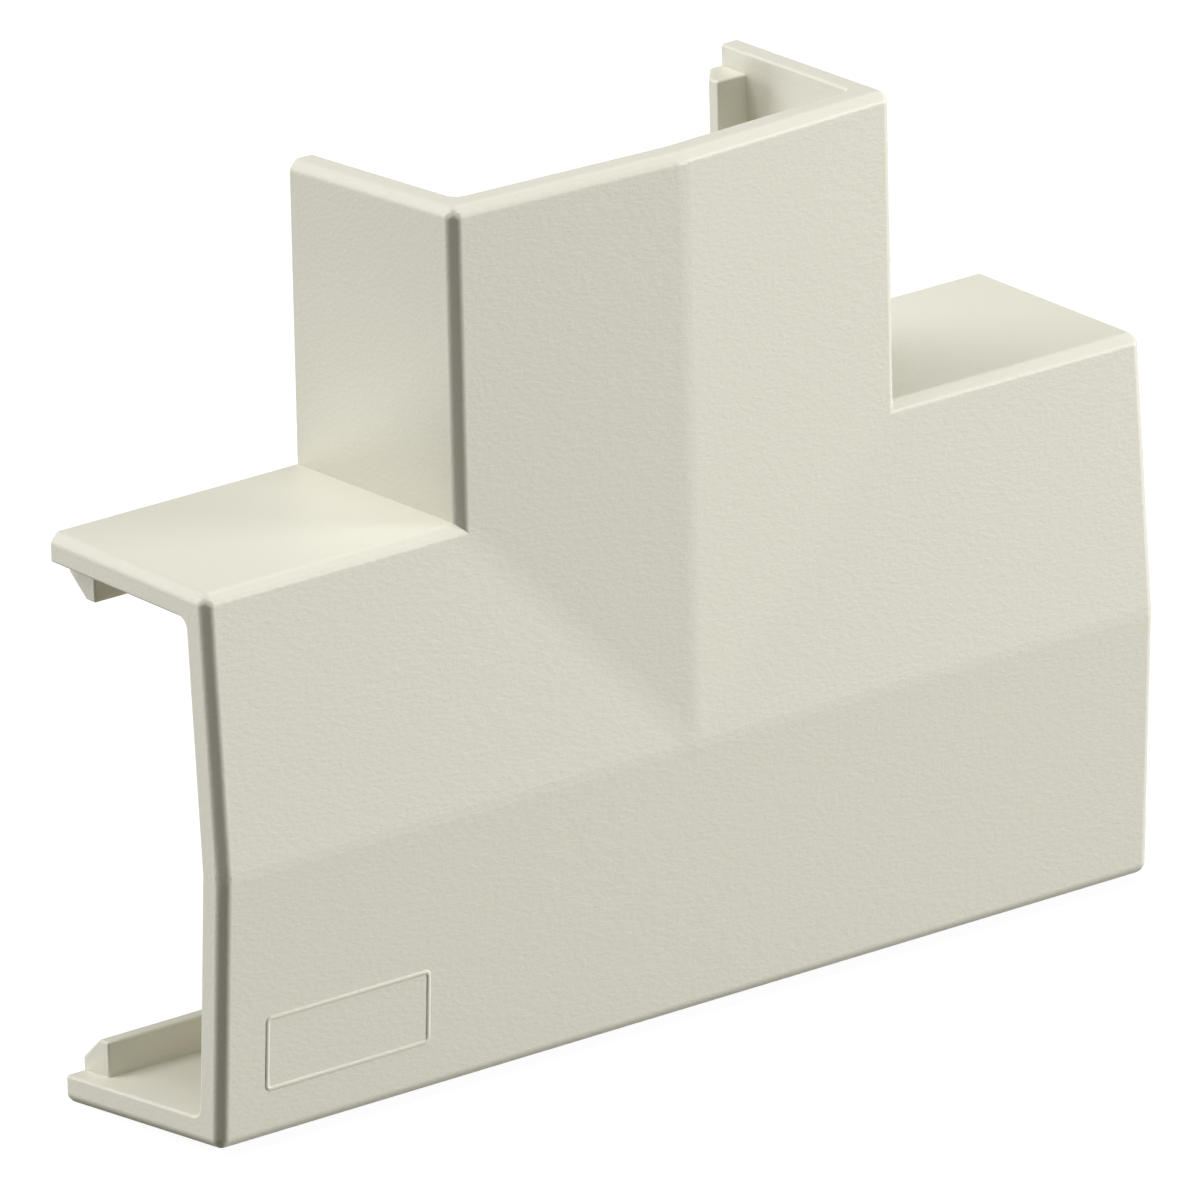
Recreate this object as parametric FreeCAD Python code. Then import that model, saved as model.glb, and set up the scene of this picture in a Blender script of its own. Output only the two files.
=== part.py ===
import FreeCAD, Part
import os
from math import radians, tan

from FreeCAD import Vector

# Tee cover for a surface raceway: one thin ivory moulding that snaps over the raceway where a
# branch leaves a straight run. X is along the run, +Z up the branch, -Y the room and +Y the wall.
# Sizes are in millimetres. The origin is in the middle of the part's length and depth, at the
# height of its lowest edge.

# Sections of the run and the branch
run_length = 94.5
run_height = 44.5            # over the front edges of the run
ridge_height = 22.05         # from the lower front edge up to the run's ridge
branch_width = 44.15         # over the front edges of the branch
branch_top = 69.7            # from the run's lower front edge to the end of the branch
depth = 18.4                 # from the front edges back to the wall
crown = 1.27                 # how far the ridges stand out past the front edges
draft = 2.5                  # degrees that the side walls lean outwards towards the wall
front_wall = 2.5
side_wall = 2.35

# Rounds
outer_chamfer = 0.65         # on the long outside edges and round the three open ends
chamfer_round = 0.7          # eases both sides of that chamfer
run_ridge_round = 6.5        # soft crest along the run
branch_ridge_round = 10.0    # and a softer one up the branch, which dies into the run's
inner_round = 0.95           # in the corners between the front and the side walls
rim_round = 0.25             # on the inside edge of the three open ends
rib_round = 0.2              # on the free edges of the ribs

# Snap ribs along the wall edges
rib_height = 2.85
rib_thickness = 3.0
rib_lead_run = 1.85          # lead-in chamfer, measured along the side wall
rib_lead_rise = 1.6          # and measured across it
rib_setback = 1.75           # from the open ends
rib_corner_gap = 3.0         # from the branch's outside corners

overshoot = 2.0              # how far a cutting shape runs past what it cuts
rib_bite = side_wall / 2     # how deep a rib's root goes into its wall
touching = 1e-6
tangent_angle = radians(0.5)
lean = tan(radians(draft))
half_length = run_length / 2
half_branch = branch_width / 2


def front_corner(edge, ridge, front, side):
    """Where the front and a side wall meet, as (across, depth), set in by front and side."""
    inward = 1 if ridge > edge else -1
    fall = crown / abs(ridge - edge)
    v = (front - fall * side) / (1 - fall * lean)
    return edge + inward * (side - lean * v), v


def section(low, high, ridge, back, front=0.0, side=0.0):
    """Crowned channel section as (across, depth) points, from one side wall round to the other."""
    return [
        (low + side - lean * back, back),
        front_corner(low, ridge, front, side),
        (ridge, front - crown),
        front_corner(high, ridge, front, side),
        (high - side + lean * back, back),
    ]


def run_prism(across_depth, start, end):
    """Solid along the run, from a section drawn as (height, depth)."""
    wire = Part.makePolygon([Vector(start, v, u) for u, v in across_depth + across_depth[:1]])
    return Part.Face(wire).extrude(Vector(end - start, 0, 0))


def branch_prism(across_depth, start, end):
    """Solid up the branch, from a section drawn as (width, depth)."""
    wire = Part.makePolygon([Vector(u, v, start) for u, v in across_depth + across_depth[:1]])
    return Part.Face(wire).extrude(Vector(0, 0, end - start))


def lies_at(edge, axis, value):
    """True where both ends of the edge have this x, y or z."""
    return all(abs(getattr(vertex.Point, axis) - value) < touching for vertex in edge.Vertexes)


def runs_along(edge, axis):
    first, last = (vertex.Point for vertex in edge.Vertexes)
    return abs(abs(getattr(last - first, axis)) - edge.Length) < touching


def rounded(solid, radius, chosen):
    return solid.makeFillet(radius, [edge for edge in solid.Edges if chosen(edge)])


def is_sharp(solid, edge):
    """True where the two faces beside the edge meet at an angle."""
    middle = edge.valueAt((edge.FirstParameter + edge.LastParameter) / 2)
    faces = solid.ancestorsOfType(edge, Part.Face)
    first, second = (face.normalAt(*face.Surface.parameter(middle)) for face in faces)
    return first.getAngle(second) > tangent_angle


def outer_form(prism, ridge_round):
    """Prism with a soft crest, and with its outside edges chamfered and eased."""

    def shows(solid):
        hidden = (("z", ridge_height), ("y", depth))
        seen = [edge for edge in solid.Edges if not any(lies_at(edge, *plane) for plane in hidden)]
        return [edge for edge in seen if is_sharp(solid, edge)]

    soft = rounded(prism, ridge_round, lambda edge: lies_at(edge, "y", -crown))
    chamfered = soft.makeChamfer(outer_chamfer, shows(soft))
    return chamfered.makeFillet(chamfer_round, shows(chamfered))


def outer_body():
    """The outside form: the run and, from its ridge upwards, the branch."""
    run = run_prism(section(0, run_height, ridge_height, depth), -half_length, half_length)
    branch = branch_prism(section(-half_branch, half_branch, 0, depth), ridge_height, branch_top)
    return outer_form(run, run_ridge_round).fuse(outer_form(branch, branch_ridge_round))


def inner_space():
    """What the walls enclose, carried past the open ends and the wall side."""
    back = depth + overshoot
    end = half_length + overshoot

    def is_corner(edge, axis):
        on_ridge = lies_at(edge, "y", front_wall - crown)
        return runs_along(edge, axis) and not (on_ridge or lies_at(edge, "y", back))

    run_section = section(0, run_height, ridge_height, back, front_wall, side_wall)
    run = run_prism(run_section, -end, end)
    run = rounded(run, inner_round, lambda edge: is_corner(edge, "x"))
    branch_section = section(-half_branch, half_branch, 0, back, front_wall, side_wall)
    branch = branch_prism(branch_section, ridge_height, branch_top + overshoot)
    branch = rounded(branch, inner_round, lambda edge: is_corner(edge, "z"))
    return run.fuse(branch)


def walls():
    """The moulded shell without its ribs, with the inside edge of each open end eased."""
    inside = inner_space()
    shell = outer_body().cut(inside)

    def is_inner_rim(edge):
        ends = [lies_at(edge, "x", -half_length), lies_at(edge, "x", half_length)]
        if not (any(ends) or lies_at(edge, "z", branch_top)):
            return False
        middle = Part.Vertex(edge.valueAt((edge.FirstParameter + edge.LastParameter) / 2))
        return inside.distToShape(middle)[0] < touching

    return rounded(shell, rim_round, is_inner_rim)


def rib_section(edge, inward):
    """Rib on the side wall that starts at this front edge: catch face in front, lead-in behind."""
    front = depth - rib_thickness
    profile = [
        (-rib_bite, depth),
        (rib_height - rib_lead_rise, depth),
        (rib_height, depth - rib_lead_run),
        (rib_height, front),
        (-rib_bite, front),
    ]
    return [(edge + inward * (side_wall - lean * v + h), v) for h, v in profile]


def rib(edge, inward, across, start, end):
    """One rib with eased edges. across is the direction in which it stands off its wall."""
    make_prism = run_prism if across == "z" else branch_prism

    def rise(point):
        return inward * (getattr(point, across) - edge) + lean * point.y

    def is_free(e):
        highest = max(rise(vertex.Point) for vertex in e.Vertexes)
        return highest > side_wall and not lies_at(e, "y", depth)

    return rounded(make_prism(rib_section(edge, inward), start, end), rib_round, is_free)


def ribs():
    end = half_length - rib_setback
    corner = half_branch + rib_corner_gap
    shoulder = run_height + rib_corner_gap
    top = branch_top - rib_setback
    return [
        rib(0, 1, "z", -end, end),
        rib(run_height, -1, "z", -end, -corner),
        rib(run_height, -1, "z", corner, end),
        rib(-half_branch, 1, "x", shoulder, top),
        rib(half_branch, -1, "x", shoulder, top),
    ]


def tee_cover():
    cover = walls().multiFuse(ribs()).removeSplitter().Solids[0]
    cover.translate(Vector(0, (crown - depth) / 2, lean * depth))
    return cover


os.makedirs("parts", exist_ok=True)
tee_cover().exportStep("parts/tee_cover.step")
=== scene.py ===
import math

import bmesh
import bpy
from mathutils import Matrix, Vector


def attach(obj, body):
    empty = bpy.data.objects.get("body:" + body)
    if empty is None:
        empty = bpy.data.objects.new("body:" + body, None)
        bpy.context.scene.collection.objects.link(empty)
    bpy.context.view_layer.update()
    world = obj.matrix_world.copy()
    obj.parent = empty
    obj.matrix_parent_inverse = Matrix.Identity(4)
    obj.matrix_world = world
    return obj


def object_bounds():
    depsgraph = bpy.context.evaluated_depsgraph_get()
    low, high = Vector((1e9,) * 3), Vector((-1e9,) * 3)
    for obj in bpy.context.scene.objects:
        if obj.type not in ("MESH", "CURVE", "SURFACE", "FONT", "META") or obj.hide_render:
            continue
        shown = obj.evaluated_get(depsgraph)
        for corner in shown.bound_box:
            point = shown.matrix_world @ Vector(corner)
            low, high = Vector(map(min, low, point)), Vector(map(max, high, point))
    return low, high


MM = 0.001

# Camera, as fitted to the photograph: a long lens from the left and a little above
CAMERA_AZIMUTH = -39.80
CAMERA_ELEVATION = 18.37
CAMERA_ROLL = -1.31
CAMERA_DISTANCE = 1.7988
CAMERA_TARGET = Vector((-1.10, 0.14, 32.41)) * MM
LENS_MM = 699.5
SENSOR_MM = 36.0
NEAREST_SEEN, FARTHEST_SEEN = 0.1, 20

# Bare name plate, low on the left of the front: the middle line of its raised border
PLATE_LEFT = 4.60 * MM
PLATE_WIDTH = 15.95 * MM
PLATE_BOTTOM = 4.85 * MM
PLATE_HEIGHT = 5.77 * MM
PLATE_CORNER = 0.35 * MM
BORDER_WIDTH = 0.43 * MM
BORDER_RISE = 0.085 * MM
BORDER_ROOT = 0.05 * MM
CORNER_STEPS = 8
ARC_STEPS = 10
PROBE_START = -1.0

# Light and floor
SOFTBOX_DISTANCE = 1.6
AMBIENT = 0.095
FLOOR_SIZE = 3.0
FLOOR_BOUNCE = (0.16, 0.154, 0.125, 1)
FLOOR_SEEN = (0.16, 0.16, 0.16, 1)
FLOOR_GLOW = 0.93

# Ivory plastic
IVORY = (0.730, 0.712, 0.615, 1)
FRONT_GRAIN = 0.038 * MM
SMOOTH_GRAIN = 0.030 * MM
GRAIN_STRETCH = (0.5, 1.0, 1.0)
GRAIN_SCALE = 3000.0
GRAIN_DETAIL = 3.0
GRAIN_ROUGHNESS = 0.6
FRONT_ROUGHNESS = 0.62
SMOOTH_ROUGHNESS = 0.48
IOR = 1.48

# How far towards the front a face looks (its normal's Y) where the front's looks fade in
FRONT_BEGINS = -0.975
FRONT_FULL = -0.995
NEARLY_FRONT = -0.9

# Front of the cover, for its two soft valleys
CROWN = 1.27 * MM
HALF_BRANCH = 22.07 * MM
RIDGE = 22.85 * MM
SHOULDER = 45.30 * MM
VALLEY_SOFTNESS = 0.11 * MM


def direction(azimuth, elevation):
    """Unit vector from the object towards a place seen at this azimuth and elevation."""
    a, e = math.radians(azimuth), math.radians(elevation)
    return Vector((math.sin(a) * math.cos(e), -math.cos(a) * math.cos(e), math.sin(e)))


class Graph:
    """A node tree that is built with short calls."""

    def __init__(self, tree):
        tree.nodes.clear()
        self.nodes, self.links = tree.nodes, tree.links

    def add(self, kind, inputs=None, **settings):
        node = self.nodes.new("ShaderNode" + kind)
        for name, value in settings.items():
            setattr(node, name, value)
        for name, value in (inputs or {}).items():
            if isinstance(value, bpy.types.NodeSocket):
                self.links.new(value, node.inputs[name])
            else:
                node.inputs[name].default_value = value
        return node

    def math(self, operation, *values):
        return self.add("Math", dict(enumerate(values)), operation=operation).outputs[0]

    def ramp(self, value, from_min, from_max, to_min, to_max, **settings):
        limits = {"From Min": from_min, "From Max": from_max, "To Min": to_min, "To Max": to_max}
        return self.add("MapRange", {"Value": value, **limits}, **settings).outputs["Result"]


def make_camera():
    back = direction(CAMERA_AZIMUTH, CAMERA_ELEVATION)
    a, roll = math.radians(CAMERA_AZIMUTH), math.radians(CAMERA_ROLL)
    level = Vector((math.cos(a), math.sin(a), 0))
    right = math.cos(roll) * level + math.sin(roll) * back.cross(level)
    data = bpy.data.cameras.new("camera")
    data.sensor_width = SENSOR_MM
    data.lens = LENS_MM
    data.clip_start, data.clip_end = NEAREST_SEEN, FARTHEST_SEEN
    camera = bpy.data.objects.new("camera", data)
    bpy.context.scene.collection.objects.link(camera)
    turn = Matrix((right, back.cross(right), back)).transposed()
    camera.matrix_world = Matrix.Translation(CAMERA_TARGET + back * CAMERA_DISTANCE) @ turn.to_4x4()
    bpy.context.scene.camera = camera


def make_world():
    world = bpy.data.worlds.new("studio")
    bpy.context.scene.world = world
    world.use_nodes = True
    graph = Graph(world.node_tree)
    path = graph.add("LightPath")
    ambient = graph.add("Background", {"Color": (1, 1, 1, 1), "Strength": AMBIENT})
    seen = graph.add("Background", {"Color": (1, 1, 1, 1)})
    mix = graph.add("MixShader", {
        "Fac": path.outputs["Is Camera Ray"], 1: ambient.outputs[0], 2: seen.outputs[0]})
    graph.add("OutputWorld", {"Surface": mix.outputs[0]})


def make_floor():
    """Pale table, white but for the object's soft shadow, and open to light from below."""
    bpy.ops.mesh.primitive_plane_add(size=FLOOR_SIZE)
    floor = bpy.context.object
    floor.name = "floor"
    material = bpy.data.materials.new("floor")
    material.use_nodes = True
    graph = Graph(material.node_tree)
    path = graph.add("LightPath")
    bounce = graph.add("BsdfDiffuse", {"Color": FLOOR_BOUNCE})
    lit = graph.add("BsdfDiffuse", {"Color": FLOOR_SEEN})
    glow = graph.add("Emission", {"Strength": FLOOR_GLOW})
    seen = graph.add("AddShader", {0: lit.outputs[0], 1: glow.outputs[0]})
    solid = graph.add("MixShader", {
        "Fac": path.outputs["Is Camera Ray"], 1: bounce.outputs[0], 2: seen.outputs[0]})
    clear = graph.add("BsdfTransparent")
    floor_look = graph.add("MixShader", {
        "Fac": path.outputs["Is Shadow Ray"], 1: solid.outputs[0], 2: clear.outputs[0]})
    graph.add("OutputMaterial", {"Surface": floor_look.outputs[0]})
    floor.data.materials.append(material)


def soft_valleys(graph, place):
    """Height that fills the sharp valleys where the branch's crest runs out on the run's."""
    at = graph.add("SeparateXYZ", {"Vector": place.outputs["Object"]})
    along = graph.math("ABSOLUTE", at.outputs["X"])
    branch_fall = graph.math("MULTIPLY", along, CROWN / HALF_BRANCH)
    up = graph.math("SUBTRACT", at.outputs["Z"], RIDGE)
    run_fall = graph.math("MULTIPLY", up, CROWN / (SHOULDER - RIDGE))
    gap = graph.math("ABSOLUTE", graph.math("SUBTRACT", run_fall, branch_fall))
    reach = graph.math("MAXIMUM", graph.math("SUBTRACT", VALLEY_SOFTNESS, gap), 0.0)
    return graph.math("DIVIDE", graph.math("MULTIPLY", reach, reach), 4 * VALLEY_SOFTNESS)


def ivory_plastic():
    """Ivory moulding with a fine grain, deeper and duller on the front than on the other faces."""
    material = bpy.data.materials.new("ivory_plastic")
    material.use_nodes = True
    graph = Graph(material.node_tree)
    place = graph.add("TexCoord")
    facing = graph.add("SeparateXYZ", {"Vector": place.outputs["Normal"]}).outputs["Y"]
    front = graph.ramp(
        facing, FRONT_BEGINS, FRONT_FULL, 0.0, 1.0, interpolation_type="SMOOTHSTEP")
    stretched = graph.add(
        "VectorMath", {0: place.outputs["Object"], 1: GRAIN_STRETCH}, operation="MULTIPLY")
    noise = graph.add("TexNoise", {
        "Vector": stretched.outputs[0], "Scale": GRAIN_SCALE, "Detail": GRAIN_DETAIL,
        "Roughness": GRAIN_ROUGHNESS})
    depth = graph.ramp(front, 0.0, 1.0, SMOOTH_GRAIN, FRONT_GRAIN)
    grain = graph.math("MULTIPLY", graph.math("SUBTRACT", noise.outputs["Fac"], 0.5), depth)
    nearly_front = graph.math("LESS_THAN", facing, NEARLY_FRONT)
    valleys = graph.math("MULTIPLY", soft_valleys(graph, place), nearly_front)
    height = graph.math("ADD", grain, valleys)
    bump = graph.add("Bump", {"Height": height, "Strength": 1.0, "Distance": 1.0})
    skin = graph.add("BsdfPrincipled", {
        "Base Color": IVORY,
        "Roughness": graph.ramp(front, 0.0, 1.0, SMOOTH_ROUGHNESS, FRONT_ROUGHNESS),
        "IOR": IOR, "Normal": bump.outputs["Normal"]})
    graph.add("OutputMaterial", {"Surface": skin.outputs[0]})
    return material


def plate_outline():
    """Points and outward directions round the plate, as seen from the front (x, z)."""
    left = cad_box[0][0] + PLATE_LEFT
    middle = Vector((left + PLATE_WIDTH / 2, PLATE_BOTTOM + PLATE_HEIGHT / 2))
    reach = Vector((PLATE_WIDTH / 2 - PLATE_CORNER, PLATE_HEIGHT / 2 - PLATE_CORNER))
    outline = []
    for corner, (side_x, side_z) in enumerate(((1, 1), (-1, 1), (-1, -1), (1, -1))):
        centre = middle + Vector((side_x * reach.x, side_z * reach.y))
        for step in range(CORNER_STEPS + 1):
            angle = math.radians(90) * (corner + step / CORNER_STEPS)
            outward = Vector((math.cos(angle), math.sin(angle)))
            outline.append((centre + outward * PLATE_CORNER, outward))
    return outline


def front_surface(cover, x, z):
    """Place and outward direction of the cover's front at x, z."""
    found, place, normal, _ = cover.ray_cast(Vector((x, PROBE_START, z)), Vector((0, 1, 0)))
    if not found:
        raise ValueError("the plate lies off the cover's front")
    return place, normal


def make_plate_border(cover):
    """Low rounded ridge round the plate, rooted in the cover's front."""
    section = [(-BORDER_WIDTH / 2, -BORDER_ROOT)]
    for step in range(ARC_STEPS + 1):
        across = 2 * step / ARC_STEPS - 1
        section.append((across * BORDER_WIDTH / 2, BORDER_RISE * (1 - across * across)))
    section.append((BORDER_WIDTH / 2, -BORDER_ROOT))
    mesh = bmesh.new()
    rings = []
    for middle, outward in plate_outline():
        place, normal = front_surface(cover, middle.x, middle.y)
        side = Vector((outward.x, 0, outward.y))
        side = (side - normal * side.dot(normal)).normalized()
        points = [place + side * across + normal * rise for across, rise in section]
        rings.append([mesh.verts.new(point) for point in points])
    for ring, following in zip(rings, rings[1:] + rings[:1]):
        for a in range(len(section)):
            b = (a + 1) % len(section)
            mesh.faces.new((ring[a], following[a], following[b], ring[b]))
    bmesh.ops.recalc_face_normals(mesh, faces=mesh.faces)
    data = bpy.data.meshes.new("plate_border")
    mesh.to_mesh(data)
    mesh.free()
    data.shade_smooth()
    border = bpy.data.objects.new("plate_border", data)
    bpy.context.scene.collection.objects.link(border)
    return border


def soft_light(name, azimuth, elevation, size, power):
    """Square softbox that faces the object and stays out of the picture."""
    data = bpy.data.lights.new(name, "AREA")
    data.energy = power
    data.shape = "SQUARE"
    data.size = size
    light = bpy.data.objects.new(name, data)
    bpy.context.scene.collection.objects.link(light)
    toward = direction(azimuth, elevation)
    light.location = CAMERA_TARGET + toward * SOFTBOX_DISTANCE
    light.rotation_mode = "QUATERNION"
    light.rotation_quaternion = toward.to_track_quat("Z", "Y")
    light.visible_camera = False


bpy.context.scene.view_settings.view_transform = "Standard"
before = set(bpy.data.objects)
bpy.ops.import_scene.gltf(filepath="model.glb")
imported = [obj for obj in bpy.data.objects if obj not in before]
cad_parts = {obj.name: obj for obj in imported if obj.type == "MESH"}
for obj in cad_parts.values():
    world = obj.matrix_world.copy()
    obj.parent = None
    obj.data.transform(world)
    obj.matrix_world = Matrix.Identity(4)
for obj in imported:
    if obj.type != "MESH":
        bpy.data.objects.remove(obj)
cad_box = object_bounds()
make_camera()
make_world()
make_floor()
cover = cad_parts["tee_cover"]
plastic = ivory_plastic()
cover.material_slots[0].material = plastic
border = make_plate_border(cover)
border.data.materials.append(plastic)
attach(border, "root")
soft_light("key", azimuth=54, elevation=7, size=0.6, power=28.4)
soft_light("key_low", azimuth=54, elevation=-30, size=0.6, power=3.6)
soft_light("left", azimuth=212, elevation=8, size=0.6, power=8.4)
soft_light("left_low", azimuth=212, elevation=-20, size=0.6, power=5.4)
soft_light("back_left", azimuth=235, elevation=30, size=0.6, power=4.7)
soft_light("back", azimuth=235, elevation=55, size=0.8, power=8.4)
soft_light("top", azimuth=320, elevation=84, size=0.8, power=14.2)
